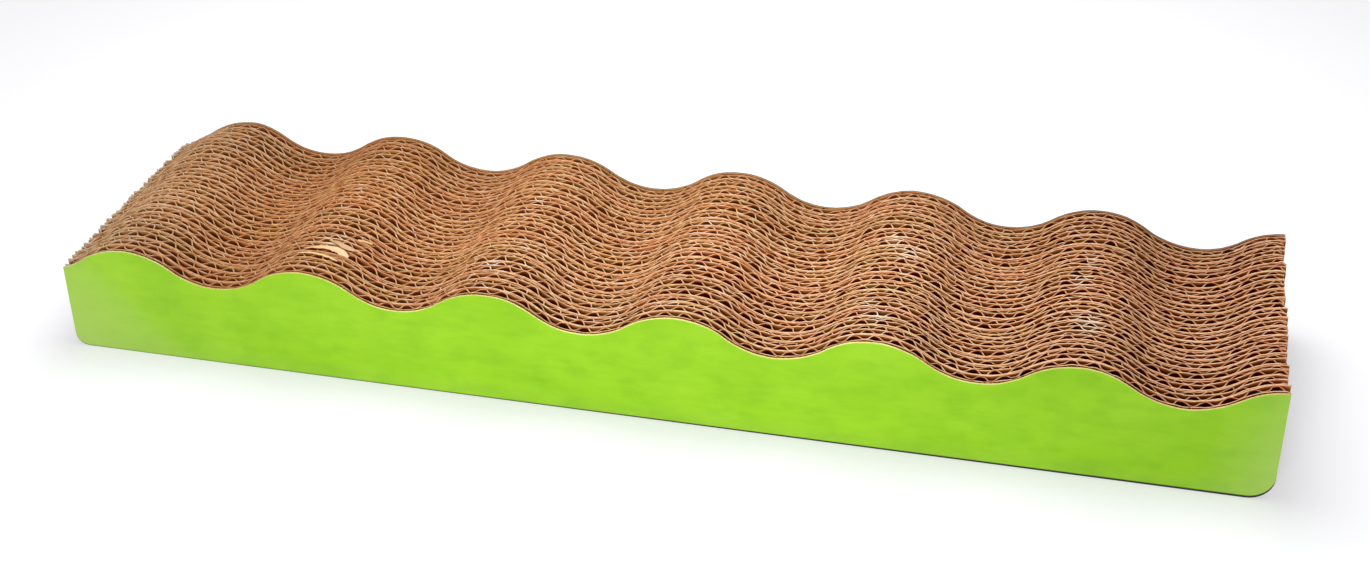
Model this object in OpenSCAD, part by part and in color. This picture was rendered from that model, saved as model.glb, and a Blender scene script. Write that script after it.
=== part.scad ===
// Cardboard cat scratcher: strips of corrugated board set on edge, glued face to face and cut to a wave.
// The block stands on Z = 0, X runs along its length, and the front cover faces -Y.

/* [Block] */
// Length from end to end, over the two covers
block_length = 444; // [200:1:600]
// Height of the block at a crest of the wave
crest_height = 44.2; // [36:0.1:80]
// Radius of the lower corners at the left end
left_corner = 5; // [1:0.5:12]
// Radius of the lower corners at the right end
right_corner = 9; // [1:0.5:12]
// Furthest that a strip's bare end stands back from the covers' ends
end_setback = 1.6; // [0.1:0.1:5]

/* [Wave] */
// Distance from one crest to the next
wavelength = 70; // [40:1:120]
// Depth of a trough below the crests
wave_depth = 11.3; // [2:0.1:18]
// Distance from the left end to the first crest
first_crest = 26; // [0:1:60]

/* [Board] */
// Number of double-wall strips between the two covers
strip_count = 16; // [1:1:17]
// Thickness of a flat liner
liner_paper = 0.3; // [0.15:0.05:0.6]
// Thickness of a fluting sheet
flute_paper = 0.25; // [0.1:0.05:0.5]
// Thickness of the printed paper on the covers
print_paper = 0.35; // [0.15:0.05:0.8]
// Glue between two boards
glue_line = 0.1; // [0.05:0.05:0.3]
// Glue between the tip of a flute and its liner
tip_glue = 0.02; // [0.01:0.01:0.05]

/* [Flutes] */
// Distance from one C flute to the next
c_pitch = 7.45; // [6:0.05:10]
// Height of the C fluting between its liners
c_height = 3.05; // [2:0.05:5]
// Distance from one B flute to the next
b_pitch = 6.2; // [5:0.05:8]
// Height of the B fluting between its liners
b_height = 2.15; // [1.5:0.05:3.5]
// Distance from one E flute to the next
e_pitch = 3.1; // [2.8:0.05:4.5]
// Height of the E fluting between its liners
e_height = 1.3; // [0.9:0.05:2]

/* [Hidden] */
$fn = 96;

// Each setback and each flute's start is drawn from a fixed series, so every strip keeps its own.
left_series = 11;
right_series = 23;
c_series = 35;
b_series = 47;
left_setbacks = rands(0, end_setback, strip_count, left_series);
right_setbacks = rands(0, end_setback, strip_count, right_series);
c_start_shares = rands(0, 1, strip_count, c_series);
b_start_shares = rands(0, 1, strip_count, b_series);

cut_over = 1;
left_x = -block_length / 2;
right_x = block_length / 2;

// A quarter of the wave is one arc, and crest and trough arcs of one radius meet at half depth.
arc_angle = 2 * atan(2 * wave_depth / wavelength);
arc_radius = wavelength / 4 / sin(arc_angle);
half_depth_height = crest_height - wave_depth / 2;
crest_total = ceil(block_length / wavelength) + 1;

strip_thick = 3 * liner_paper + c_height + b_height;
cover_thick = print_paper + e_height + 2 * liner_paper + c_height;
core_width = strip_count * (strip_thick + glue_line) + glue_line;
block_width = 2 * cover_thick + core_width;
front_y = -block_width / 2;

print_color = [0.61, 0.84, 0.18];
liner_color = [0.80, 0.62, 0.44];
fluting_color = [0.70, 0.51, 0.34];

COVER_PIECES = ["print", "e_web", "c_flute", "liner"];
STRIP_PIECES = ["c_web", "b_web", "back_liner"];
function cover_name(side, piece) = str(side, "_cover_", piece);
function strip_name(i, piece) = str("strip_", i < 9 ? "0" : "", i + 1, "_", piece);

function strip_y(i) = front_y + cover_thick + glue_line + i * (strip_thick + glue_line);
function strip_ends(i) = [left_x + left_setbacks[i], right_x - right_setbacks[i]];

// Angle of a flute's flank, at which the sheet keeps its thickness and its tips reach both rims.
function flank_angle(pitch, rim) =
  acos(flute_paper / norm([2 * rim, pitch / 2])) - atan2(pitch / 2, 2 * rim);

// One face of a fluting sheet from end to end, whose tips lie at the two values of `tips` in turn.
function flute_edge(pitch, start, count, tips) =
  [for (k = [0 : count]) [start + k * pitch / 2, tips[k % 2]]];

// Plan of a whole fluting sheet, centred on y = 0.
function flute_plan(pitch, height, start_share, ends) =
  let (rim = height / 2 - tip_glue,
       wall = flute_paper / cos(flank_angle(pitch, rim)),
       start = ends[0] - (1 + start_share) * pitch,
       count = 2 * ceil((ends[1] - start) / pitch + 1),
       outer = flute_edge(pitch, start, count, [rim, wall - rim]),
       inner = flute_edge(pitch, start, count, [rim - wall, -rim]))
  concat(outer, [for (k = [count : -1 : 0]) inner[k]]);

// Side view of the block between two ends: flat foot, rounded lower corners, wave on top.
module wave_face(ends) {
  difference() {
    union() {
      translate([ends[0], 0])
        square([ends[1] - ends[0], half_depth_height]);
      intersection() {
        translate([ends[0], half_depth_height - cut_over])
          square([ends[1] - ends[0], wave_depth / 2 + 2 * cut_over]);
        crest_discs();
      }
    }
    trough_discs();
    corner_cut(ends[0], left_corner, 1);
    corner_cut(ends[1], right_corner, -1);
  }
}

module crest_discs() {
  for (k = [-1 : crest_total])
    translate([left_x + first_crest + k * wavelength, crest_height - arc_radius])
      circle(r = arc_radius);
}

module trough_discs() {
  for (k = [-1 : crest_total])
    translate([left_x + first_crest + (k + 1 / 2) * wavelength, crest_height - wave_depth + arc_radius])
      circle(r = arc_radius);
}

module corner_cut(end_x, radius, inward) {
  translate([end_x, 0])
    scale([inward, 1])
      difference() {
        translate([-cut_over, -cut_over])
          square(radius + cut_over);
        translate([radius, radius])
          circle(r = radius);
      }
}

// A sheet on edge from y to y + thick, cut to the wave.
module liner(y, thick, ends) {
  translate([0, y + thick, 0])
    rotate([90, 0, 0])
      linear_extrude(thick)
        wave_face(ends);
}

// A fluting sheet on edge from y to y + height, its channels upright, cut to the wave.
module fluting(y, pitch, height, start_share, ends) {
  color(fluting_color)
    intersection() {
      liner(y - cut_over, height + 2 * cut_over, ends);
      translate([0, y + height / 2, -cut_over])
        linear_extrude(crest_height + 2 * cut_over)
          polygon(flute_plan(pitch, height, start_share, ends));
    }
}

module kraft_liner(y, ends) {
  color(liner_color)
    liner(y, liner_paper, ends);
}

// Sheets of the front cover, outermost first. The back cover is its mirror image.
cover_ends = [left_x, right_x];
cover_e_y = front_y + print_paper;
cover_middle_y = cover_e_y + e_height;
cover_c_y = cover_middle_y + liner_paper;
cover_inner_y = cover_c_y + c_height;

module cover_print() {
  color(print_color)
    liner(front_y, print_paper, cover_ends);
}

module cover_e_web() {
  fluting(cover_e_y, e_pitch, e_height, 0, cover_ends);
  kraft_liner(cover_middle_y, cover_ends);
}

module cover_c_flute() {
  fluting(cover_c_y, c_pitch, c_height, 0, cover_ends);
}

module cover_liner() {
  kraft_liner(cover_inner_y, cover_ends);
}

module cover_piece(piece) {
  if (piece == "print") cover_print();
  if (piece == "e_web") cover_e_web();
  if (piece == "c_flute") cover_c_flute();
  if (piece == "liner") cover_liner();
}

module on_side(side) {
  mirror([0, side == "back" ? 1 : 0, 0])
    children();
}

// Sheets of one double-wall strip, from front to back.
module strip_c_web(i) {
  kraft_liner(strip_y(i), strip_ends(i));
  fluting(strip_y(i) + liner_paper, c_pitch, c_height, c_start_shares[i], strip_ends(i));
}

module strip_b_web(i) {
  middle_y = strip_y(i) + liner_paper + c_height;
  kraft_liner(middle_y, strip_ends(i));
  fluting(middle_y + liner_paper, b_pitch, b_height, b_start_shares[i], strip_ends(i));
}

module strip_back_liner(i) {
  kraft_liner(strip_y(i) + strip_thick - liner_paper, strip_ends(i));
}

for (side = ["front", "back"], piece = COVER_PIECES)
  on_side(side) cover_piece(piece);

for (i = [0 : strip_count - 1]) {
  strip_c_web(i);
  strip_b_web(i);
  strip_back_liner(i);
}
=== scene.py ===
"""Looks of the cardboard cat scratcher: every sheet of paper as its own worn, rounded and slightly crushed
sheet, in place of the plain sheets of the CAD model."""

import math
from collections import namedtuple

import bpy
import numpy as np
from mathutils import Matrix, Vector


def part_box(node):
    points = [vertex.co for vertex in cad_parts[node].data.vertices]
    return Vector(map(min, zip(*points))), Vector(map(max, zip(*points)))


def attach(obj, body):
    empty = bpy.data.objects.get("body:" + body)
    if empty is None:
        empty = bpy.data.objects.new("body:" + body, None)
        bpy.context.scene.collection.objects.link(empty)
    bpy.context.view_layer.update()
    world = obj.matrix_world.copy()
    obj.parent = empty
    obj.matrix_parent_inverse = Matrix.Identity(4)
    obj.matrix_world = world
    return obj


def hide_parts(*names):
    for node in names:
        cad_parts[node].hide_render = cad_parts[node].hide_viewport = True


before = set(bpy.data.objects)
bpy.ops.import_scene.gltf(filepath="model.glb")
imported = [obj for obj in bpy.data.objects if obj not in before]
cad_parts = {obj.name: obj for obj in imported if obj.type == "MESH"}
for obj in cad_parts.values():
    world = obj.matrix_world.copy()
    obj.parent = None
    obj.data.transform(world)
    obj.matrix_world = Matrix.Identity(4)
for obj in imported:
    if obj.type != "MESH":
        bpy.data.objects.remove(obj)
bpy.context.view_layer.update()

MM = 0.001

# Sizes of the block, in mm, as in the CAD source.
BLOCK_LENGTH = 444.0
CREST_HEIGHT = 44.2
WAVE_DEPTH = 11.3
WAVELENGTH = 70.0
FIRST_CREST = 26.0
LEFT_CORNER = 5.0
RIGHT_CORNER = 9.0
STRIP_COUNT = 16
LINER_PAPER = 0.3
PRINT_PAPER = 0.35
GLUE_LINE = 0.1
C_PITCH, C_HEIGHT = 7.45, 3.05
B_PITCH, B_HEIGHT = 6.2, 2.15
E_PITCH, E_HEIGHT = 3.1, 1.3
STRIP_THICK = 3 * LINER_PAPER + C_HEIGHT + B_HEIGHT
STRIP_PITCH = STRIP_THICK + GLUE_LINE
COVER_THICK = PRINT_PAPER + E_HEIGHT + 2 * LINER_PAPER + C_HEIGHT
CORE_WIDTH = STRIP_COUNT * STRIP_PITCH + GLUE_LINE
FRONT_Y = -CORE_WIDTH / 2 - COVER_THICK
LEFT_X, RIGHT_X = -BLOCK_LENGTH / 2, BLOCK_LENGTH / 2
ARC_ANGLE = 2 * math.atan(2 * WAVE_DEPTH / WAVELENGTH)
ARC_RADIUS = WAVELENGTH / 4 / math.sin(ARC_ANGLE)

# Sheets as drawn here: a soft cut edge looks thicker than the paper itself.
LINER_DRAWN, FLUTE_DRAWN, FINE_FLUTE_DRAWN = 0.36, 0.28, 0.2
TIP_CLEARANCE = 0.02
# How much thicker the frayed lip of a cut sheet is than the sheet.
LINER_LIP, FLUTE_LIP, PRINT_LIP, REAR_LIP = 1.35, 1.6, 1.2, 2.0
# Distance between the points of a liner's line and of a print's, and closer points at the rounded corners.
LINER_STEP, PRINT_STEP = 1.15, 1.5
CORNER_POINTS = np.array([0.15, 0.45, 0.9, 1.8])

# How far the softer sheets inside a board were worn down below its glued outer liners.
MIDDLE_SINK, C_SINK, B_SINK, E_SINK, SLOT_SINK = 0.20, 0.15, 0.25, 0.45, 0.20
# A strip's back liner was worn a little lower than the next strip's front one beside it.
# Its darker tone is painted shade in that step down.
BACK_SINK, BACK_DARKER = 0.22, 0.3
# How unevenly a sheet was worn down: share, reach along the block, and the least and most.
SINK_WAVER, SINK_RIPPLE, SINK_LIMITS = 0.45, 9.0, (0.2, 2.0)
# How much darker the sheets in the covers' narrow outer slot are painted: painted shade in the slot.
SLOT_DARKER = 0.6
# The printed sheet's cut is worn round: how far its outer edge lies lower.
PRINT_BEVEL = 0.30

# How ragged the cut is, how far it leans along and across the block, and how much more of each wear adds.
RAG, PRINT_RAG, RAG_BY_WEAR = 0.10, 0.05, 1.5
LEAN_X, LEAN_X_BY_WEAR = 0.10, 1.5
LEAN_Y, LEAN_Y_BY_WEAR = 0.07, 2.0
# Points over which each unevenness is smoothed, and the divisor of their sum.
RAG_WINDOW, LEAN_X_WINDOW, LEAN_Y_WINDOW, SHIFT_WINDOW = (5, 2.2), (9, 3.0), (13, 3.6), (31, 31.0)
# How far wear has lowered the cut where it is strongest.
WORN_DEPTH = 0.25

# Depths below the cut of the rows of points of a sheet. The last row is the foot.
ROW_DEPTHS = (0.0, 0.7, 2.6, 8.0)
# How much of the wear at the cut each row takes.
ROW_WEAR = (1.0, 0.55, 0.12, 0.0)
# Depth at which the painted shade in a channel is at its darkest.
DARK_DEPTH = 2.6
# Height and strength of the painted contact shadow along a printed sheet's foot, at places along the block.
FOOT_SHADOW_PLACES = (-200.0, -60.0, 80.0, 222.0)
FOOT_SHADOW_HEIGHTS, FOOT_SHADOW_SHARES = (0.6, 0.7, 0.9, 1.1), (0.5, 0.9, 1.8, 2.5)

# How far from its ends a sheet's rim has gone grey, and how grey the right end is beside the left one.
END_REACH, RIGHT_GREY = 3.0, 0.2
# How much less painted shade the channels have at a sheet's ends, where they lie open to the side.
END_LIGHT = 0.85
# How far in side light still lessens the painted shade low in a channel, and over what length it fades.
OPEN_REACH, OPEN_FADE = 8.0, 5.0
# How far from its ends a sheet's cut drops or rises, how far at most, and the limits of the share of that.
END_TORN, END_DROP = 2.2, 0.9
LEFT_TORN, RIGHT_TORN = (-1.0, 0.2), (-0.3, 1.0)
# How far apart the ends of a strip's sheets lie.
END_SPREAD = 0.6
# Share of the CAD strip's own setback that its worn ends show, and how far the strips' left ends slid left.
SETBACK_SHARE = 0.6
SLID_STRIPS, SLID = (0, 9, 13, 15), (1.2, 1.1, 0.3, 0.0)

# Each fluting's pitch, thickness as drawn and points to a flute.
Flute = namedtuple("Flute", "pitch thick points")
C_FLUTE = Flute(C_PITCH, FLUTE_DRAWN, 12)
B_FLUTE = Flute(B_PITCH, FLUTE_DRAWN, 12)
E_FLUTE = Flute(E_PITCH, FINE_FLUTE_DRAWN, 10)
# Flutes drawn past a sheet's own length, which its ends then cut off.
SPARE_FLUTES = 3
# How full the arches of a fluting are: near 0 they are a plain sine.
FULLNESS = 1.3
# How unevenly flutes lean, each one and a whole sheet's, and how unevenly they are spaced: shares of a pitch.
FLUTE_LEAN, SHEET_LEAN, FLUTE_DRIFT = 0.035, 0.03, 0.012
# Share of its height that a flute has kept: usual, spread and limits. How far a low flute is off the middle.
FLUTE_KEPT, KEPT_SPREAD, KEPT_LIMITS, LOW_SHIFT = 0.985, 0.04, (0.75, 1.0), 0.5
# Least half height of a fluting between two liners.
LEAST_HALF = 0.05

# Tone of a sheet, from 0 for the darkest to 1: usual and spread.
TONE, TONE_SPREAD = 0.6, 0.22
# How far the tone drifts along a sheet, and over what reach.
TONE_DRIFT, TONE_RIPPLE = 0.22, 60.0
PRINT_TONE = 0.8

# Seeds of the random draws. A strip's own three follow from its number, in steps.
TONE_SEED, DRIFT_SEED, END_SEED = 71, 7, 6000
STRIP_SEEDS, SEED_STEP = (1000, 2000, 3000), 10
FRONT_SEED, BACK_SEED = 4000, 5000
FLAKE_SEED, STATION_SEED = 1000, 7

# Slots of a sheet's materials: for its two faces and for its cut edges.
FACE_SLOT, CUT_SLOT, TORN_SLOT = 0, 1, 2
PLAIN_SLOTS, LINER_IN_WEB = (FACE_SLOT, FACE_SLOT, CUT_SLOT), (2, 2, 3)
PRINT_IN_FRONT, PRINT_BEHIND = (2, 0, 1), (0, 2, 1)

# Height of a cut edge on the map, the gap between ribbons, and a map's side beside that of the faces' area.
CUT_ON_MAP, MAP_GAP, MAP_SPARE = 1.6, 0.9, 1.06


def wave_top(x):
    """Height of the cut at x, from arcs of one radius."""
    phase = (x - LEFT_X - FIRST_CREST + WAVELENGTH / 2) % WAVELENGTH - WAVELENGTH / 2
    away = np.abs(phase)
    crest = CREST_HEIGHT - ARC_RADIUS + np.sqrt(ARC_RADIUS ** 2 - np.minimum(away, WAVELENGTH / 4) ** 2)
    rest = np.minimum(WAVELENGTH / 2 - away, WAVELENGTH / 4)
    trough = CREST_HEIGHT - WAVE_DEPTH + ARC_RADIUS - np.sqrt(ARC_RADIUS ** 2 - rest ** 2)
    return np.where(away <= WAVELENGTH / 4, crest, trough)


def foot(x):
    """Height of the lower edge at x: flat, with a rounded corner at each end."""
    height = np.zeros_like(x)
    for end, radius, inward in ((LEFT_X, LEFT_CORNER, 1), (RIGHT_X, RIGHT_CORNER, -1)):
        inside = np.clip(radius - (x - end) * inward, 0, radius)
        height = np.maximum(height, radius - np.sqrt(radius ** 2 - inside ** 2))
    return height


# How far the rear rim was pressed down at places along the block, and the share that lines across take.
RIM_PLACES = (-222.0, -212.0, -200.0, -190.0, 177.0, 190.0, 200.0, 222.0)
RIM_DROPS = (3.3, 3.4, 1.6, 0.0, 0.0, 0.7, 1.4, 1.9)
RIM_LINES, RIM_SHARES = (42.0, 47.0, 52.0, 56.5), (0.0, 0.3, 0.8, 1.0)


def pressed_rim(x, y):
    """How far the cut at x, y was pressed down by wear of the rear corners."""
    return np.interp(x, RIM_PLACES, RIM_DROPS) * np.interp(y, RIM_LINES, RIM_SHARES)


class Ripples:
    """A smooth, repeatable field made of a few cosines. It runs from about -1 to 1."""

    turns_to_length = (0.5, 1.4)
    peak = 1.6

    def __init__(self, seed, length_x, length_y=math.inf, count=7):
        draw = np.random.default_rng(seed)
        self.x_turns = draw.uniform(*self.turns_to_length, count) / length_x * draw.choice([-1, 1], count)
        self.y_turns = draw.uniform(*self.turns_to_length, count) / length_y
        self.starts = draw.uniform(0, 1, count)
        self.scale = math.sqrt(2 / count) / self.peak

    def __call__(self, x, y=0.0):
        x, y = np.broadcast_arrays(np.asarray(x, float), np.asarray(y, float))
        turns = x[..., None] * self.x_turns + y[..., None] * self.y_turns + self.starts
        return np.cos(2 * math.pi * turns).sum(-1) * self.scale


# Slow bows of the whole stack and quicker bows, and how far in from the covers they are held back.
SLOW_BOW, QUICK_BOW = Ripples(3, 150, 70), Ripples(4, 46, 30)
SLOW_BOW_SIZE, QUICK_BOW_SIZE, BOW_HELD = 1.0, 0.35, 14.0
# How far in from the covers a board's pressing is held back.
PRESS_HELD = 4.0
# Boards pressed thinner: x, y, reach along the block and across it, share.
PRESSED = [
    (-60, -39, 260, 2.6, 0.42), (40, -7, 190, 2.4, 0.40), (-120, 1, 120, 2.5, 0.42),
    (120, 30, 160, 2.4, 0.40), (-90, 31, 150, 2.6, 0.36), (60, 48, 200, 2.4, 0.30),
    (150, -22, 90, 2.4, 0.38), (-170, -20, 60, 2.4, 0.36), (10, 17, 70, 2.2, 0.34),
    (-20, -26, 60, 2.2, 0.30), (190, 8, 50, 2.4, 0.36),
]


def bowed(x, y):
    """Where the stack's bowing puts a sheet that was glued at y."""
    inward = CORE_WIDTH / 2 - np.abs(y)
    held = np.clip(inward / BOW_HELD, 0, 1)
    held = held * held * (3 - 2 * held)
    moved = held * (SLOW_BOW_SIZE * SLOW_BOW(x, y) + QUICK_BOW_SIZE * QUICK_BOW(x, y))
    edge = np.clip(inward / PRESS_HELD, 0, 1)
    for px, py, along, across, share in PRESSED:
        near = np.exp(-((x - px) / along) ** 2 - ((y - py) / across) ** 2)
        moved = moved - share * (y - py) * near * edge
    return y + moved


# How much further across the block than along it a worn place reaches.
REACH_ACROSS = 1.5
# Worn places along the crests: x, y, reach along the block, strength.
WORN = [
    (-128, 10, 3, 0.4), (-57, 16, 3, 0.6), (-60, -33, 3, 0.8), (11, 15, 3, 0.5), (81, 17, 4.5, 0.65),
    (87, 9, 4.5, 0.7), (83, -37, 4, 0.7), (153, 17, 4, 0.5), (154, -25, 6, 0.6), (14, -30, 3, 0.3),
    (-122, -30, 5, 0.5), (-128, 38, 3, 0.3), (86, 42, 3, 0.3), (18, 42, 3, 0.3), (150, 3, 4, 0.6),
    (78, -30, 4, 0.5),
]


def worn(x, y):
    """How worn the cut is at a place, from 0 to 1."""
    total = np.zeros(np.broadcast(x, y).shape)
    for wx, wy, reach, strength in WORN:
        away = ((x - wx) / reach) ** 2 + ((y - wy) / (reach * REACH_ACROSS)) ** 2
        total = np.maximum(total, strength * np.exp(-away))
    return total


class Ribbons:
    """Lays long narrow ribbons of faces side by side on one square map, broken off at its width."""

    def __init__(self, total_area):
        self.side = math.sqrt(total_area) * MAP_SPARE
        self.along, self.low, self.high = 0.0, 0.0, 0.0

    def place(self, widths, height):
        """(left, right, bottom) of each face of a ribbon, in mm on the map."""
        if height != self.high:
            self.low += self.high + MAP_GAP if self.high else 0.0
            self.along, self.high = 0.0, height
        left, bottom = np.empty(len(widths)), np.empty(len(widths))
        for i, width in enumerate(widths):
            if self.along + width > self.side:
                self.along = 0.0
                self.low += self.high + MAP_GAP
            left[i], bottom[i] = self.along, self.low
            self.along += width
        self.along += MAP_GAP
        return left, left + widths, bottom


def line_length(line):
    return float(np.hypot(*np.diff(line, axis=1)).sum())


def map_for(*lines):
    """A map big enough for the sheets along these lines."""
    lengths = [line_length(line) for line in lines]
    wide, narrow = CREST_HEIGHT + MAP_GAP, CUT_ON_MAP + MAP_GAP
    return Ribbons(sum(2 * length * wide + 2 * length * narrow for length in lengths))


class Piece:
    """Collects the sheets of one piece and makes its mesh."""

    def __init__(self):
        self.points, self.faces, self.slots, self.maps = [], [], [], []
        self.fields = {"tone": [], "wear": [], "deep": [], "soil": [], "end": []}
        self.count = 0

    def add_points(self, x, y, z, **values):
        """A row of points in mm, with its value of every field."""
        self.points.append(np.stack(np.broadcast_arrays(x, y, z), 1))
        self.count += len(x)
        for name, kept in self.fields.items():
            kept.append(np.broadcast_to(values.get(name, 0.0), x.shape))

    def last_points(self, rows, columns):
        """Numbers of the points just added: two sides, each in rows."""
        return np.arange(self.count - 2 * rows * columns, self.count).reshape(2, rows, columns)

    def add_faces(self, corners, slot, us, vs, turned=False):
        """A ribbon of quads: four rows of corners, with their places on the map."""
        faces, us, vs = (np.stack(rows, 1) for rows in (corners, us, vs))
        if turned:
            faces, us, vs = faces[:, ::-1], us[:, ::-1], vs[:, ::-1]
        self.faces.append(faces)
        self.slots.append(np.full(len(faces), slot))
        self.maps.append(np.stack([us, vs], -1))

    def make_mesh(self, name):
        """A mesh of all the quads, with their slots."""
        points, faces = np.concatenate(self.points) * MM, np.concatenate(self.faces)
        mesh = bpy.data.meshes.new(name)
        mesh.vertices.add(len(points))
        mesh.vertices.foreach_set("co", points.ravel().astype(np.float32))
        mesh.loops.add(faces.size)
        mesh.loops.foreach_set("vertex_index", faces.ravel().astype(np.int32))
        mesh.polygons.add(len(faces))
        mesh.polygons.foreach_set("loop_start", np.arange(0, faces.size, 4, dtype=np.int32))
        mesh.polygons.foreach_set("loop_total", np.full(len(faces), 4, np.int32))
        mesh.polygons.foreach_set("material_index", np.concatenate(self.slots).astype(np.int32))
        return mesh

    def make(self, name, materials, node):
        """The piece as an object that replaces a node of the CAD model."""
        mesh = self.make_mesh(name)
        for material in materials:
            mesh.materials.append(material)
        maps = np.concatenate(self.maps)
        layer = mesh.uv_layers.new(name="OFBake")
        layer.uv.foreach_set("vector", (maps / maps.max()).ravel().astype(np.float32))
        for label, values in self.fields.items():
            field = mesh.attributes.new(label, "FLOAT", "POINT")
            field.data.foreach_set("value", np.concatenate(values).astype(np.float32))
        mesh.update(calc_edges=True)
        mesh.validate()
        piece = bpy.data.objects.new(name, mesh)
        bpy.context.scene.collection.objects.link(piece)
        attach(piece, "root")
        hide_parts(node)
        return piece


def smoothed(draw, count, window):
    """Random values, smoothed over a window: its number of points, and the divisor of their sum."""
    points, divisor = window
    return np.convolve(draw.normal(0, 1, count + points - 1), np.ones(points) / divisor, "valid")


def near_ends(x, reach):
    """How near a line's points are to its left and its right end: 1 at the end, 0 from reach on."""
    return np.clip(1 - (x - x[0]) / reach, 0, 1), np.clip(1 - (x[-1] - x) / reach, 0, 1)


def worn_cut(x, y, seed, rag, sink, end_drop):
    """A sheet's wear, the height of its cut, and how far the cut leans along and across the block."""
    draw = np.random.default_rng(seed)
    wear = worn(x, y)
    ragged = rag * smoothed(draw, len(x), RAG_WINDOW) * (1 + RAG_BY_WEAR * wear)
    lean_x = LEAN_X * smoothed(draw, len(x), LEAN_X_WINDOW) * (1 + LEAN_X_BY_WEAR * wear)
    lean_y = LEAN_Y * smoothed(draw, len(x), LEAN_Y_WINDOW) * (1 + LEAN_Y_BY_WEAR * wear)
    left_drop, right_drop = (end_drop * draw.uniform(*limits) for limits in (LEFT_TORN, RIGHT_TORN))
    near_left, near_right = near_ends(x, END_TORN)
    waver = np.clip(1 + SINK_WAVER * Ripples(seed, SINK_RIPPLE)(x), *SINK_LIMITS)
    top = wave_top(x) - pressed_rim(x, y) + ragged - WORN_DEPTH * wear - sink * waver
    return wear, top - left_drop * near_left - right_drop * near_right, lean_x, lean_y


def sheet_rows(x, top, sink, soiled):
    """Rows of points from the cut to the foot: height, share of the cut's wear, depth in a channel, painted
    contact shadow.
    """
    low = foot(x)
    rows = [(top - depth, share, min((depth + sink) / DARK_DEPTH, 1.0), 0.0)
            for depth, share in zip(ROW_DEPTHS, ROW_WEAR)]
    # The last rows carry the painted contact shadow along a printed sheet's foot.
    if soiled:
        rows.append((low + np.interp(x, FOOT_SHADOW_PLACES, FOOT_SHADOW_HEIGHTS), 0.0, 1.0, 0.0))
    rows.append((low, 0.0, 1.0, np.interp(x, FOOT_SHADOW_PLACES, FOOT_SHADOW_SHARES) if soiled else 0.0))
    return rows


def darkness(x):
    """Share of the channels' painted shade that the light at the open ends leaves, at the cut and below it.
    """
    to_end = np.minimum(x - x[0], x[-1] - x)
    at_cut = 1 - END_LIGHT * np.maximum(*near_ends(x, END_REACH))
    return at_cut, 1 - END_LIGHT * np.clip((OPEN_REACH - to_end) / OPEN_FADE, 0, 1)


def add_walls(piece, ribbons, index, heights, widths, slots):
    """The two large faces of a sheet, each with its slot."""
    for side, grid in enumerate(index):
        left, right, bottom = ribbons.place(widths, CREST_HEIGHT)
        for j, (upper, lower) in enumerate(zip(heights[:-1], heights[1:])):
            corners = [grid[j + 1, :-1], grid[j + 1, 1:], grid[j, 1:], grid[j, :-1]]
            vs = [bottom + z for z in (lower[:-1], lower[1:], upper[1:], upper[:-1])]
            piece.add_faces(corners, slots[side], [left, right, right, left], vs, turned=side == 0)


def add_rims(piece, ribbons, index, heights, widths, slot):
    """The narrow faces of a sheet: its cut, its foot and its two ends."""
    back, front = index
    for j, turned in ((0, False), (-1, True)):
        left, right, bottom = ribbons.place(widths, CUT_ON_MAP)
        top = bottom + CUT_ON_MAP
        corners = [front[j, :-1], front[j, 1:], back[j, 1:], back[j, :-1]]
        piece.add_faces(corners, slot, [left, right, right, left], [bottom, bottom, top, top], turned)
    falls = -np.diff([z.mean() for z in heights])
    for i, turned in ((0, False), (-1, True)):
        left, right, bottom = ribbons.place(falls, CUT_ON_MAP)
        top = bottom + CUT_ON_MAP
        corners = [back[1:, i], front[1:, i], front[:-1, i], back[:-1, i]]
        piece.add_faces(corners, slot, [right, right, left, left], [bottom, top, top, bottom], turned)


def add_sheet(piece, ribbons, line, thick, seed, tone, slots=PLAIN_SLOTS, rag=RAG, sink=0.0, lip=LINER_LIP,
              bevel=0.0, soiled=False, end_drop=END_DROP):
    """A closed upright sheet along a line. Its top is the worn cut, and its foot stands on the floor."""
    x, y = line
    along_x, along_y = np.gradient(x), np.gradient(y)
    step = np.hypot(along_x, along_y)
    normal_x, normal_y = -along_y / step, along_x / step
    wear, top, lean_x, lean_y = worn_cut(x, y, seed, rag, sink, end_drop)
    tone = tone + TONE_DRIFT * Ripples(seed + DRIFT_SEED, TONE_RIPPLE)(x)
    near_left, near_right = near_ends(x, END_REACH)
    end = np.maximum(near_left, RIGHT_GREY * near_right)
    dark_at_cut, dark_below = darkness(x)
    rows = sheet_rows(x, top, sink, soiled)
    for side, drop in ((1, 0.0), (-1, bevel)):
        for z, share, deep, soil in rows:
            half = thick / 2 * (1 + (lip - 1) * share)
            px = x + side * normal_x * half + lean_x * share
            py = y + side * normal_y * half + lean_y * share
            pz = z - drop if share == 1 else z
            deep = deep * (dark_at_cut if share else dark_below)
            piece.add_points(px, py, pz, tone=tone, wear=wear, deep=deep, soil=soil, end=end * share)
    index, heights, widths = piece.last_points(len(rows), len(x)), [row[0] for row in rows], step[:-1]
    add_walls(piece, ribbons, index, heights, widths, slots)
    add_rims(piece, ribbons, index, heights, widths, slots[2])


# A torn flake's points along and across, its thickness and curl, and how far its tip frays, by what reach.
FLAKE_STEPS, FLAKE_ROWS = 19, 5
FLAKE_THICK, FLAKE_CURL, FLAKE_FRAY, FRAY_RIPPLE = 0.25, 0.7, 0.25, 3.0
# Least width and height of a flake's faces on the map.
FLAKE_WIDTH, FLAKE_HEIGHT = 0.01, 0.1
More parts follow.
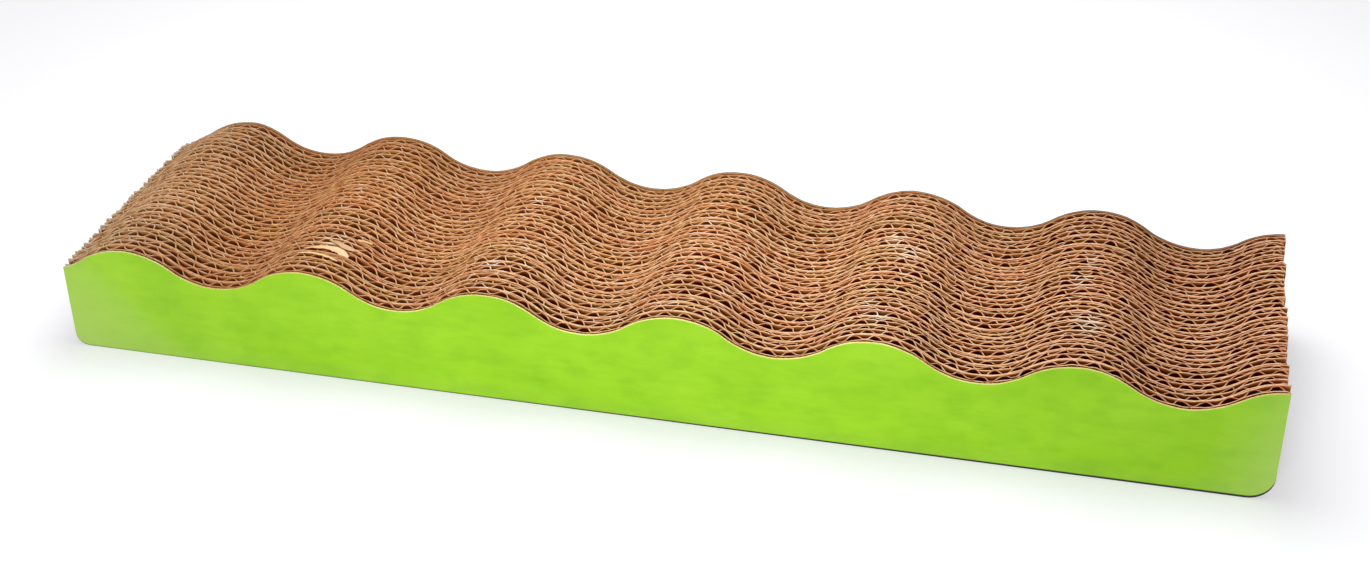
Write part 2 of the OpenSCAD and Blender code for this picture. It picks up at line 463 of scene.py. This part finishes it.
# Torn strips of liner on the second crest, each with its tone. Its stations give x, the y of root and tip,
# and how far the root and the tip rise over the cut.
FLAKES = {
    "strip_03_back_liner": [
        (0.9, [(-132.0, -36.4, -36.8, 0.0, 0.2), (-126.0, -34.4, -37.3, 0.1, 0.6),
               (-122.3, -34.0, -37.0, 0.2, 0.8), (-118.5, -33.2, -38.0, 0.2, 0.8),
               (-115.8, -35.0, -38.2, 0.3, 0.6), (-114.4, -36.6, -37.6, 0.3, 0.4)]),
        (0.0, [(-124.2, -29.8, -30.6, 0.0, 0.3), (-121.0, -29.4, -32.2, 0.1, 0.8),
               (-118.0, -30.4, -34.0, 0.2, 0.9), (-115.4, -30.7, -33.8, 0.3, 0.8),
               (-113.2, -31.2, -32.0, 0.2, 0.4)]),
    ],
    "strip_02_back_liner": [
        (0.8, [(-133.0, -39.7, -40.3, 0.0, 0.1), (-128.0, -39.6, -41.2, 0.1, 0.5),
               (-122.0, -40.2, -41.8, 0.1, 0.5), (-117.0, -41.2, -41.9, 0.0, 0.1)]),
    ],
    "strip_04_back_liner": [
        (0.4, [(-115.5, -24.2, -25.2, 0.0, 0.2), (-113.0, -23.0, -25.2, 0.1, 0.6),
               (-110.6, -22.2, -23.2, 0.0, 0.2)]),
    ],
}


def flake_faces(top, under):
    """Rows of corners of a flake's ribbons of quads, from the points of its upper and lower side."""
    ribbons = []
    for j in range(FLAKE_ROWS - 1):
        ribbons.append((top[j + 1, :-1], top[j + 1, 1:], top[j, 1:], top[j, :-1]))
        ribbons.append((under[j, :-1], under[j, 1:], under[j + 1, 1:], under[j + 1, :-1]))
    ribbons.append((top[0, :-1], top[0, 1:], under[0, 1:], under[0, :-1]))
    ribbons.append((under[-1, :-1], under[-1, 1:], top[-1, 1:], top[-1, :-1]))
    ribbons.append((top[1:, 0], top[:-1, 0], under[:-1, 0], under[1:, 0]))
    ribbons.append((top[:-1, -1], top[1:, -1], under[1:, -1], under[:-1, -1]))
    return ribbons


def add_flake(piece, ribbons, tone, stations):
    """A torn strip of liner that still hangs from the cut."""
    stations = np.array(stations)
    u = np.linspace(0, len(stations) - 1, FLAKE_STEPS)
    numbers = np.arange(len(stations))
    x, root, tip, root_rise, tip_rise = (np.interp(u, numbers, column) for column in stations.T)
    seed = int(FLAKE_SEED + STATION_SEED * len(stations) + abs(stations[0, 0]))
    tip = tip + Ripples(seed, FRAY_RIPPLE)(x) * FLAKE_FRAY
    for drop in (0.0, FLAKE_THICK):
        for share in np.linspace(0, 1, FLAKE_ROWS):
            rise = root_rise + (tip_rise - root_rise) * share ** FLAKE_CURL
            piece.add_points(x, root + (tip - root) * share, wave_top(x) + rise - drop, tone=tone)
    widths = np.hypot(np.diff(x), np.diff(tip)) + FLAKE_WIDTH
    height = float(np.abs(tip - root).max()) / (FLAKE_ROWS - 1) + FLAKE_HEIGHT
    for corners in flake_faces(*piece.last_points(FLAKE_ROWS, FLAKE_STEPS)):
        left, right, bottom = ribbons.place(widths[:len(corners[0])], height)
        top = bottom + height
        piece.add_faces(corners, TORN_SLOT, [left, right, right, left], [bottom, bottom, top, top])


def liner_line(ends, y, step=LINER_STEP):
    """A liner's line from end to end, with close points at its rounded lower corners."""
    x = np.append(np.arange(ends[0], ends[1] - step / 2, step), ends[1])
    x = np.unique(np.concatenate([x, ends[0] + CORNER_POINTS, ends[1] - CORNER_POINTS]).round(4))
    return x, bowed(x, np.full_like(x, y))


def flute_line(ends, flute, y_front, y_back, seed):
    """A fluting sheet's line between two liners: full rounded arches, some leaning or pressed flat."""
    pitch, thick, points = flute
    draw = np.random.default_rng(seed)
    count = int((ends[1] - ends[0]) / pitch) + SPARE_FLUTES
    start = ends[0] - draw.uniform(0, 1) * pitch
    u = np.arange(0, count * points + 1) / points
    arch = np.tanh(FULLNESS * np.sin(2 * math.pi * u)) / math.tanh(FULLNESS)
    knots = np.arange(0, count + 2)
    lean = np.interp(u, knots, draw.normal(0, FLUTE_LEAN, len(knots)) + draw.normal(0, SHEET_LEAN))
    drift = np.interp(u, knots, np.cumsum(draw.normal(0, FLUTE_DRIFT, len(knots))))
    kept = np.interp(u, knots, np.clip(draw.normal(FLUTE_KEPT, KEPT_SPREAD, len(knots)), *KEPT_LIMITS))
    x = start + (u + lean * arch + drift - drift.mean()) * pitch
    inside = (x > ends[0]) & (x < ends[1])
    x, arch, kept = x[inside], arch[inside], kept[inside]
    to_middle = (LINER_DRAWN + thick) / 2 + TIP_CLEARANCE
    front = bowed(x, np.full_like(x, y_front)) + to_middle
    back = bowed(x, np.full_like(x, y_back)) - to_middle
    half = np.maximum((back - front) / 2, LEAST_HALF)
    shift = smoothed(draw, len(x), SHIFT_WINDOW) * LOW_SHIFT
    return x, (front + back) / 2 + half * np.clip(arch * kept + shift * (1 - kept), -1, 1)


LENGTHWISE, ACROSS, UPWARD = (1.0, 0.0, 0.0), (0.0, 1.0, 0.0), (0.0, 0.0, 1.0)
# Numbers of a mix node's inputs and output for colours, whose names it has several times.
MIX_SHARE, MIX_FIRST, MIX_SECOND, MIX_RESULT = 0, 6, 7, 2


class Shading:
    """The nodes of one material or world. Most methods return the output that carries their result."""

    bump_strength = 0.5

    def __init__(self, owner):
        owner.use_nodes = True
        self.nodes, self.links = owner.node_tree.nodes, owner.node_tree.links
        self.nodes.clear()

    def fill(self, socket, value):
        """Gives an input its value: a number, a colour, a vector or another node's output."""
        if isinstance(value, bpy.types.NodeSocket):
            self.links.new(value, socket)
        else:
            socket.default_value = (*value, 1) if socket.type == "RGBA" else value

    def new(self, kind, inputs):
        node = self.nodes.new(kind)
        for name, value in inputs.items():
            self.fill(node.inputs[name], value)
        return node

    def place(self):
        return self.nodes.new("ShaderNodeTexCoord").outputs["Object"]

    def field(self, name):
        """One of the piece's own fields."""
        node = self.nodes.new("ShaderNodeAttribute")
        node.attribute_name = name
        return node.outputs["Fac"]

    def noise(self, scale, detail=3.0, stretch=(1.0, 1.0, 1.0)):
        """A noise over the object's own place, in features per metre."""
        mapping = self.new("ShaderNodeMapping", {"Vector": self.place(), "Scale": stretch})
        inputs = {"Vector": mapping.outputs["Vector"], "Scale": scale, "Detail": detail}
        return self.new("ShaderNodeTexNoise", inputs).outputs["Fac"]

    def along(self, way=LENGTHWISE, low=LEFT_X, high=RIGHT_X):
        """Place along a direction, from 0 at low to 1 at high, both in mm."""
        dot = self.nodes.new("ShaderNodeVectorMath")
        dot.operation = "DOT_PRODUCT"
        self.fill(dot.inputs[0], self.place())
        self.fill(dot.inputs[1], way)
        inputs = {"Value": dot.outputs["Value"], "From Min": low * MM, "From Max": high * MM}
        return self.new("ShaderNodeMapRange", inputs).outputs["Result"]

    def ramp(self, value, stops):
        """A colour ramp over value: pairs of a place and a colour or a grey."""
        node = self.new("ShaderNodeValToRGB", {"Fac": value})
        elements = node.color_ramp.elements
        while len(elements) < len(stops):
            elements.new(0.5)
        for element, (place, colour) in zip(elements, stops):
            element.position = place
            element.color = (colour, colour, colour, 1) if isinstance(colour, float) else (*colour, 1)
        return node.outputs["Color"]

    def mix(self, share, first, second, kind="MIX"):
        """Mixes two colours. The share and each colour may be another node's output."""
        node = self.nodes.new("ShaderNodeMix")
        node.data_type = "RGBA"
        node.blend_type = kind
        for number, value in ((MIX_SHARE, share), (MIX_FIRST, first), (MIX_SECOND, second)):
            self.fill(node.inputs[number], value)
        return node.outputs[MIX_RESULT]

    def multiply(self, first, second):
        return self.mix(1.0, first, second, "MULTIPLY")

    def calculate(self, kind, first, second):
        node = self.nodes.new("ShaderNodeMath")
        node.operation = kind
        self.fill(node.inputs[0], first)
        self.fill(node.inputs[1], second)
        return node.outputs[0]

    def seen(self):
        """1 where a thing is seen, straight or as a reflection, and 0 where it lights other things."""
        path = self.nodes.new("ShaderNodeLightPath")
        return self.calculate("MAXIMUM", path.outputs["Is Camera Ray"], path.outputs["Is Glossy Ray"])

    def finish(self, colour, roughness, specular, bump_from, bump_size):
        """The surface: its colour, its gloss and fine bumps of a size in mm."""
        inputs = {"Strength": self.bump_strength, "Distance": bump_size * MM, "Height": bump_from}
        bump = self.new("ShaderNodeBump", inputs)
        inputs = {"Base Color": colour, "Roughness": roughness, "Specular IOR Level": specular,
                  "Normal": bump.outputs["Normal"]}
        shader = self.new("ShaderNodeBsdfPrincipled", inputs)
        self.new("ShaderNodeOutputMaterial", {"Surface": shader.outputs["BSDF"]})


# Patterns in the kraft: features per metre, detail and stretch. Its patches are smaller on the cut edges.
FIBRES = (1500.0, 4.0, (0.35, 0.35, 1.0))
BANDS = (170.0, 2.0, (0.12, 1.0, 0.12))
FACE_PATCHES, CUT_PATCHES = 55.0, 420.0
PATCH_PLACES = (0.36, 0.51, 0.66)
FIBRE_SHADES = [(0.25, (0.78, 0.76, 0.74)), (0.75, 1.0)]
TONE_SHADES = [(0.0, (0.72, 0.64, 0.56)), (0.5, (0.9, 0.88, 0.86)), (1.0, 1.0)]
# Tints of the kraft along the strips: olive, plain, reddish.
BAND_TINTS = [(0.34, (0.93, 0.97, 0.82)), (0.50, 1.0), (0.66, (1.0, 0.86, 0.80))]
# The painted shade in the channels grows toward the front right corner; the cut is duller toward the rear
# left.
TO_FRONT_RIGHT = (1.0, -1.5, 0.0)
DARKER_ALONG = [(0.25, 0.0), (0.95, 1.0)]
DULLER_ALONG = [(0.0, 0.42), (0.35, 0.20), (0.65, 0.0)]
DULL_KRAFT = (0.52, 0.22, 0.080)
# The liners' cut edges are paler toward the front right corner.
PALER_ALONG = [(0.40, 0.0), (1.0, 0.5)]
CORNER_PALE = (1.0, 0.68, 0.44)
# The top is greyer at its left end, and a little darker toward both ends and the rear as painted shade.
ALONG_TINTS = [(0.03, (0.92, 1.12, 1.32)), (0.13, (0.87, 0.84, 0.80)), (0.40, (1.03, 1.04, 1.03)),
               (0.66, (1.05, 1.04, 1.02)), (0.92, (0.84, 0.73, 0.71))]
ACROSS_TINTS = [(0.05, 0.97), (0.45, 1.06), (0.72, 1.02), (0.94, 0.86)]
# The sheets' ends are grey.
GREY_END, GREY_SHARES = (0.50, 0.44, 0.36), [(0.3, 0.0), (0.8, 0.85)]
# Worn places are pale: the wear at which that starts and is full, and the most of it that lips and channels
# take.
# Worn places also get more of the painted shade in their channels.
WORN_PALE, WEAR_STARTS, WEAR_FULL, LIP_WEAR = (1.0, 0.86, 0.65), 0.16, 0.75, 0.9
# Share of a lip's reach over which it keeps its full colour.
FULL_LIP = 0.5
KRAFT_ROUGHNESS, KRAFT_SPECULAR, KRAFT_BUMPS = 0.9, 0.0, 0.05


def plain_kraft(paint, colours, patches, fibre):
    """Unbleached paper: patches of three colours, fibres, each sheet's tone and bands along the strips."""
    colour = paint.ramp(paint.noise(patches), list(zip(PATCH_PLACES, colours)))
    colour = paint.multiply(colour, paint.ramp(fibre, FIBRE_SHADES))
    colour = paint.multiply(colour, paint.ramp(paint.field("tone"), TONE_SHADES))
    return paint.multiply(colour, paint.ramp(paint.noise(*BANDS), BAND_TINTS))


def channel_shades(paint, shades, corner, wear):
    """Painted shade of a sheet by its depth in a channel: less at the left, more toward the front right and
    where worn.
    """
    left, right = (paint.ramp(paint.field("deep"), stops) for stops in shades)
    share = paint.mix(1.0, paint.ramp(corner, DARKER_ALONG), wear, "LIGHTEN")
    return paint.mix(share, left, right)


def dulled_and_shaded(paint, colour, corner):
    """Kraft duller at the rear left, greyer at its left end, and with painted shade toward both ends and the
    rear.
    """
    colour = paint.mix(paint.ramp(corner, DULLER_ALONG), colour, DULL_KRAFT)
    colour = paint.multiply(colour, paint.ramp(paint.along(), ALONG_TINTS))
    return paint.multiply(colour, paint.ramp(paint.along(ACROSS, FRONT_Y, -FRONT_Y), ACROSS_TINTS))


def kraft(name, colours, shades=None, lip=None, pales=0.0, patches=FACE_PATCHES, untinted=False, paler=False):
    """Kraft of three colours, some with painted shade by depth, a lip's colour and reach, and pale worn
    places.
    """
    material = bpy.data.materials.new(name)
    paint = Shading(material)
    fibre = paint.noise(*FIBRES)
    colour = plain_kraft(paint, colours, patches, fibre)
    corner = paint.along(TO_FRONT_RIGHT)
    wear = paint.ramp(paint.field("wear"), [(WEAR_STARTS, 0.0), (WEAR_FULL, LIP_WEAR)])
    # Painted shade by depth in the channels.
    if shades:
        colour = paint.multiply(colour, channel_shades(paint, shades, corner, wear))
    if lip:
        lip_colour, reach = lip
        fade = paint.ramp(paint.field("deep"), [(FULL_LIP * reach, 1.0), (reach, 0.0)])
        colour = paint.mix(fade, colour, paint.mix(wear, lip_colour, WORN_PALE))
    if not untinted:
        # Duller at the rear left, with painted shade toward both ends and the rear.
        colour = dulled_and_shaded(paint, colour, corner)
    colour = paint.mix(paint.ramp(paint.field("end"), GREY_SHARES), colour, GREY_END)
    if paler:
        colour = paint.mix(paint.ramp(corner, PALER_ALONG), colour, CORNER_PALE)
    if pales:
        pale = paint.ramp(paint.field("wear"), [(WEAR_STARTS, 0.0), (WEAR_FULL, pales)])
        colour = paint.mix(pale, colour, WORN_PALE)
    paint.finish(colour, KRAFT_ROUGHNESS, KRAFT_SPECULAR, fibre, KRAFT_BUMPS)
    return material


# Patterns in the print: features per metre, detail and stretch.
CLOUDS = (48.0, 3.0, (0.8, 1.0, 1.1))
BLOTCHES = (150.0, 5.0, (0.6, 1.0, 1.0))
STREAKS = (330.0, 4.0, (0.25, 1.0, 1.0))
# Colours of the clouds, and the duller tints of the blotches and the streaks.
LIMES = [(0.30, (0.350, 0.715, 0.010)), (0.52, (0.385, 0.765, 0.014)), (0.72, (0.415, 0.795, 0.022))]
BLOTCH_TINTS = [(0.32, (0.87, 0.92, 0.80)), (0.54, 1.0)]
STREAK_TINTS = [(0.32, (0.93, 0.96, 0.90)), (0.54, 1.0)]
# The print is darker toward both ends: painted shade.
PRINT_SHADE_ALONG = [(0.12, (0.89, 0.89, 0.91)), (0.33, 1.0), (0.68, (1.0, 1.0, 0.98)), (0.95, (0.76, 0.78, 0.64))]
# Painted reflection makes the print paler at both ends and near its foot; painted contact shadow darkens its
# foot.
SHEEN_LIME = (0.47, 0.66, 0.16)
TO_RIGHT_AND_UP, TO_RIGHT_AND_DOWN = (1.0, 0.0, 1.0), (1.0, 0.0, -0.3)
SHEEN_LEFT = [(0.0, 0.78), (0.055, 0.50), (0.09, 0.36), (0.12, 0.08), (0.20, 0.0)]
SHEEN_RIGHT = [(0.935, 0.0), (0.96, 0.20), (0.99, 0.60)]
SHEEN_FOOT, SHEEN_FOOT_HEIGHT = [(0.0, 0.16), (0.35, 0.10), (1.0, 0.0)], 8.0
FOOT_SHADOW, FOOT_SHADOW_RAMP = (0.018, 0.024, 0.010), [(0.15, 0.0), (0.80, 1.0)]
PRINT_ROUGHNESS, PRINT_SPECULAR, PRINT_BUMPS = 0.42, 0.3, 0.03


def printed(name):
    """Lime green coated paper with faint cloudy streaks, and painted shade, reflection and contact shadow."""
    material = bpy.data.materials.new(name)
    paint = Shading(material)
    streaks = paint.noise(*STREAKS)
    colour = paint.ramp(paint.noise(*CLOUDS), LIMES)
    colour = paint.multiply(colour, paint.ramp(paint.noise(*BLOTCHES), BLOTCH_TINTS))
    colour = paint.multiply(colour, paint.ramp(streaks, STREAK_TINTS))
    colour = paint.multiply(colour, paint.ramp(paint.along(), PRINT_SHADE_ALONG))
    # Painted reflection of the white surroundings at both ends and near the foot.
    sheens = [(paint.along(TO_RIGHT_AND_UP), SHEEN_LEFT), (paint.along(TO_RIGHT_AND_DOWN), SHEEN_RIGHT),
             (paint.along(UPWARD, 0.0, SHEEN_FOOT_HEIGHT), SHEEN_FOOT)]
    for place, stops in sheens:
        colour = paint.mix(paint.ramp(place, stops), colour, SHEEN_LIME)
    # Painted contact shadow along the foot.
    colour = paint.mix(paint.ramp(paint.field("soil"), FOOT_SHADOW_RAMP), colour, FOOT_SHADOW)
    paint.finish(colour, PRINT_ROUGHNESS, PRINT_SPECULAR, streaks, PRINT_BUMPS)
    return material


# Painted shade of the sheets over their depth in a channel, at the left and toward the front right corner.
LINER_SHADES = ([(0.12, 1.0), (0.40, (0.92, 0.81, 0.69)), (0.75, (0.74, 0.53, 0.37))],
                [(0.03, 1.0), (0.13, (0.66, 0.49, 0.35)), (0.45, (0.31, 0.15, 0.07))])
FLUTE_SHADES = ([(0.09, 1.0), (0.20, (0.64, 0.44, 0.32)), (0.36, (0.27, 0.07, 0.024))],
                [(0.06, 1.0), (0.14, (0.45, 0.26, 0.17)), (0.26, (0.07, 0.006, 0.002))])
# Painted shade on the cut edges of sheets sunk below their neighbours.
SUNK_SHADES = [(0.10, 1.0), (0.22, (0.30, 0.17, 0.10))]
# Colours and reaches, in depth, of the light lips that show beside the cut.
LIGHT_LINER, LIGHT_FLUTE = ((0.88, 0.48, 0.25), 0.07), ((0.76, 0.42, 0.21), 0.08)
FACE_PALES, CUT_PALES = 0.15, 0.8

# The fluting is darker than the liners: partly its own darker paper, partly painted shade of its cells.
LINER_FACE = kraft("kraft_liner", ((0.60, 0.26, 0.095), (0.73, 0.345, 0.135), (0.83, 0.43, 0.185)),
                   LINER_SHADES, LIGHT_LINER, FACE_PALES)
FLUTE_FACE = kraft("kraft_fluting", ((0.42, 0.145, 0.045), (0.52, 0.190, 0.062), (0.62, 0.25, 0.090)),
                   FLUTE_SHADES, LIGHT_FLUTE)
LINER_CUT = kraft("liner_cut_edge", ((0.74, 0.39, 0.19), (0.95, 0.59, 0.34), (1.0, 0.86, 0.64)),
                  pales=CUT_PALES, patches=CUT_PATCHES, paler=True)
FLUTE_CUT = kraft("fluting_cut_edge", ((0.62, 0.31, 0.14), (0.79, 0.45, 0.24), (0.94, 0.67, 0.43)),
                  (SUNK_SHADES, SUNK_SHADES), pales=CUT_PALES, patches=CUT_PATCHES)
PRINT_CUT = kraft("print_cut_edge", ((0.82, 0.86, 0.24), (0.92, 0.93, 0.32), (0.98, 0.98, 0.44)))
REAR_CUT = kraft("rear_cut_edge", ((0.14, 0.15, 0.09), (0.20, 0.21, 0.13), (0.26, 0.27, 0.18)))
TORN_FACE = kraft("torn_liner", ((0.94, 0.60, 0.29), (1.0, 0.72, 0.42), (1.0, 0.84, 0.58)), untinted=True)
PRINT_FACE = printed("lime_print")
KRAFT_SHEETS = [LINER_FACE, LINER_CUT, TORN_FACE]
FLUTING_SHEETS = [FLUTE_FACE, FLUTE_CUT]
WEB_SHEETS = [FLUTE_FACE, FLUTE_CUT, LINER_FACE, LINER_CUT]

tones = np.random.default_rng(TONE_SEED)


def new_tone(darker=0.0):
    """The next sheet's tone. Each sheet draws its own, in the order in which they are made."""
    return float(np.clip(tones.normal(TONE, TONE_SPREAD), 0, 1)) - darker


def web_piece(name, ends, liner_y, far_liner_y, flute, seed, sinks, darker=0.0):
    """A liner with the fluting that is glued to it, up to the next liner, and the sink of each."""
    piece = Piece()
    liner = liner_line(ends, liner_y)
    fluting = flute_line(ends, flute, min(liner_y, far_liner_y), max(liner_y, far_liner_y), seed)
    ribbons = map_for(liner, fluting)
    liner_sink, flute_sink = sinks
    add_sheet(piece, ribbons, liner, LINER_DRAWN, seed + 1, new_tone(darker), LINER_IN_WEB, sink=liner_sink)
    add_sheet(piece, ribbons, fluting, flute.thick, seed + 2, new_tone(darker), sink=flute_sink,
              lip=FLUTE_LIP)
    return piece.make(name + "_sheets", WEB_SHEETS, name)


def liner_piece(name, ends, y, seed, sink=0.0, darker=0.0):
    """A liner, with the flakes that are torn from it."""
    piece = Piece()
    liner = liner_line(ends, y)
    ribbons = map_for(liner)
    add_sheet(piece, ribbons, liner, LINER_DRAWN, seed, new_tone(darker), sink=sink)
    for tone, stations in FLAKES.get(name, ()):
        add_flake(piece, ribbons, tone, stations)
    return piece.make(name + "_sheet", KRAFT_SHEETS, name)


def flute_piece(name, ends, y_front, y_back, flute, seed):
    """A fluting on its own between two liners."""
    piece = Piece()
    fluting = flute_line(ends, flute, y_front, y_back, seed)
    add_sheet(piece, map_for(fluting), fluting, flute.thick, seed + 1, new_tone(), sink=C_SINK, lip=FLUTE_LIP)
    return piece.make(name + "_sheet", FLUTING_SHEETS, name)


def print_piece(name, ends, y, seed, cut, slots, lip, bevel):
    """A printed sheet, which keeps its clean ends."""
    piece = Piece()
    line = liner_line(ends, y, PRINT_STEP)
    add_sheet(piece, map_for(line), line, PRINT_PAPER, seed, PRINT_TONE, slots, PRINT_RAG, lip=lip,
              bevel=bevel, soiled=True, end_drop=0.0)
    return piece.make(name + "_sheet", [PRINT_FACE, cut, LINER_FACE], name)


def node_ends(node):
    low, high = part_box(node)
    return low.x / MM, high.x / MM


def build_strip(i):
    """One double-wall strip, its sheets' ends a little apart from one another."""
    name = f"strip_{i + 1:02d}"
    left, right = (end + (1 - SETBACK_SHARE) * (full - end)
                   for end, full in zip(node_ends(name + "_back_liner"), (LEFT_X, RIGHT_X)))
    left -= np.interp(i, SLID_STRIPS, SLID)
    apart = np.random.default_rng(END_SEED + i).uniform(0, END_SPREAD, (3, 2))
    c_ends, b_ends, back_ends = [(left + a, right - b) for a, b in apart]
    c_seed, b_seed, back_seed = (seed + SEED_STEP * i for seed in STRIP_SEEDS)
    front = FRONT_Y + COVER_THICK + GLUE_LINE + i * STRIP_PITCH
    first = front + LINER_PAPER / 2
    middle = front + LINER_PAPER + C_HEIGHT + LINER_PAPER / 2
    last = front + STRIP_THICK - LINER_PAPER / 2
    web_piece(name + "_c_web", c_ends, first, middle, C_FLUTE, c_seed, (0.0, C_SINK))
    web_piece(name + "_b_web", b_ends, middle, last, B_FLUTE, b_seed, (MIDDLE_SINK, B_SINK))
    liner_piece(name + "_back_liner", back_ends, last, back_seed, BACK_SINK, BACK_DARKER)


def build_cover(side, mirror, seed, *print_looks):
    """One cover. The back one is the front one turned round, with a mirror of -1."""
    name = f"{side}_cover"
    ends = (LEFT_X, RIGHT_X)
    outer = mirror * (FRONT_Y + PRINT_PAPER / 2)
    middle = mirror * (FRONT_Y + PRINT_PAPER + E_HEIGHT + LINER_PAPER / 2)
    inner = mirror * (FRONT_Y + COVER_THICK - LINER_PAPER / 2)
    print_piece(name + "_print", ends, outer, seed, *print_looks)
    flute_piece(name + "_c_flute", ends, min(inner, middle), max(inner, middle), C_FLUTE, seed + SEED_STEP)
    liner_piece(name + "_liner", ends, inner, seed + 2 * SEED_STEP)
    web_seed = seed + 3 * SEED_STEP
    web_piece(name + "_e_web", ends, middle, outer, E_FLUTE, web_seed, (SLOT_SINK, E_SINK), SLOT_DARKER)


build_cover("front", 1, FRONT_SEED, PRINT_CUT, PRINT_IN_FRONT, PRINT_LIP, PRINT_BEVEL)
build_cover("back", -1, BACK_SEED, REAR_CUT, PRINT_BEHIND, REAR_LIP, 0.0)
for strip in range(STRIP_COUNT):
    build_strip(strip)

# The floor's side in metres, its colour and its lift, and the world's light as it shines and as it is seen.
FLOOR_SIDE = 12.0
FLOOR_COLOUR, FLOOR_LIFT = (0.58, 0.58, 0.61), 0.445
WORLD_LIGHT, WORLD_SEEN = 0.52, 1.0


def build_floor():
    """A pale floor. What is seen of it is lifted to the white of the photograph."""
    mesh = bpy.data.meshes.new("floor")
    half = FLOOR_SIDE / 2
    corners = [(-half, -half, 0), (half, -half, 0), (half, half, 0), (-half, half, 0)]
    mesh.from_pydata(corners, [], [(0, 1, 2, 3)])
    floor = bpy.data.objects.new("floor", mesh)
    bpy.context.scene.collection.objects.link(floor)
    material = bpy.data.materials.new("floor_white")
    paint = Shading(material)
    diffuse = paint.new("ShaderNodeBsdfDiffuse", {"Color": FLOOR_COLOUR})
    lift = paint.calculate("MULTIPLY", paint.seen(), FLOOR_LIFT)
    glow = paint.new("ShaderNodeEmission", {"Strength": lift})
    both = paint.new("ShaderNodeAddShader", {0: diffuse.outputs[0], 1: glow.outputs[0]})
    paint.new("ShaderNodeOutputMaterial", {"Surface": both.outputs[0]})
    mesh.materials.append(material)


def build_world():
    """An even light from all around, brighter where it is seen."""
    world = bpy.data.worlds.new("studio")
    bpy.context.scene.world = world
    paint = Shading(world)
    light = paint.new("ShaderNodeBackground", {"Strength": WORLD_LIGHT})
    white = paint.new("ShaderNodeBackground", {"Strength": WORLD_SEEN})
    pick = paint.new("ShaderNodeMixShader", {0: paint.seen(), 1: light.outputs[0], 2: white.outputs[0]})
    paint.new("ShaderNodeOutputWorld", {"Surface": pick.outputs[0]})


# Each lamp's place and size in metres, and its power.
LAMPS = {"key": ((-0.02, 0.12, 0.44), 0.45, 2.0), "front": ((-0.1, -2.0, 0.8), 0.8, 20.5)}


def add_lamp(name, place, size, power):
    """A round soft lamp that points at the middle of the block's foot."""
    data = bpy.data.lights.new(name, "AREA")
    data.shape = "DISK"
    data.size = size
    data.energy = power
    lamp = bpy.data.objects.new(name, data)
    bpy.context.scene.collection.objects.link(lamp)
    lamp.location = place
    lamp.rotation_mode = "QUATERNION"
    lamp.rotation_quaternion = Vector(place).to_track_quat("Z", "Y")


# The camera solved from the photograph: place in mm, angles in radians, lens for a 36 mm wide picture.
CAMERA_PLACE = (157.5, -631.7, 421.6)
CAMERA_YAW, CAMERA_PITCH, CAMERA_ROLL = 0.23785, 0.55031, 0.00869
CAMERA_LENS, PICTURE_WIDTH = 53.07, 36.0
NEAREST, FURTHEST = 0.01, 100.0


def build_camera():
    data = bpy.data.cameras.new("camera")
    data.sensor_fit = "HORIZONTAL"
    data.sensor_width = PICTURE_WIDTH
    data.lens = CAMERA_LENS
    data.clip_start, data.clip_end = NEAREST, FURTHEST
    camera = bpy.data.objects.new("camera", data)
    bpy.context.scene.collection.objects.link(camera)
    turned = Matrix.Rotation(CAMERA_YAW, 4, "Z") @ Matrix.Rotation(math.pi / 2 - CAMERA_PITCH, 4, "X")
    turned = turned @ Matrix.Rotation(-CAMERA_ROLL, 4, "Z")
    camera.matrix_world = Matrix.Translation(Vector(CAMERA_PLACE) * MM) @ turned
    bpy.context.scene.camera = camera


build_floor()
build_world()
for lamp_name, looks in LAMPS.items():
    add_lamp(lamp_name, *looks)
build_camera()
bpy.context.scene.view_settings.view_transform = "Standard"
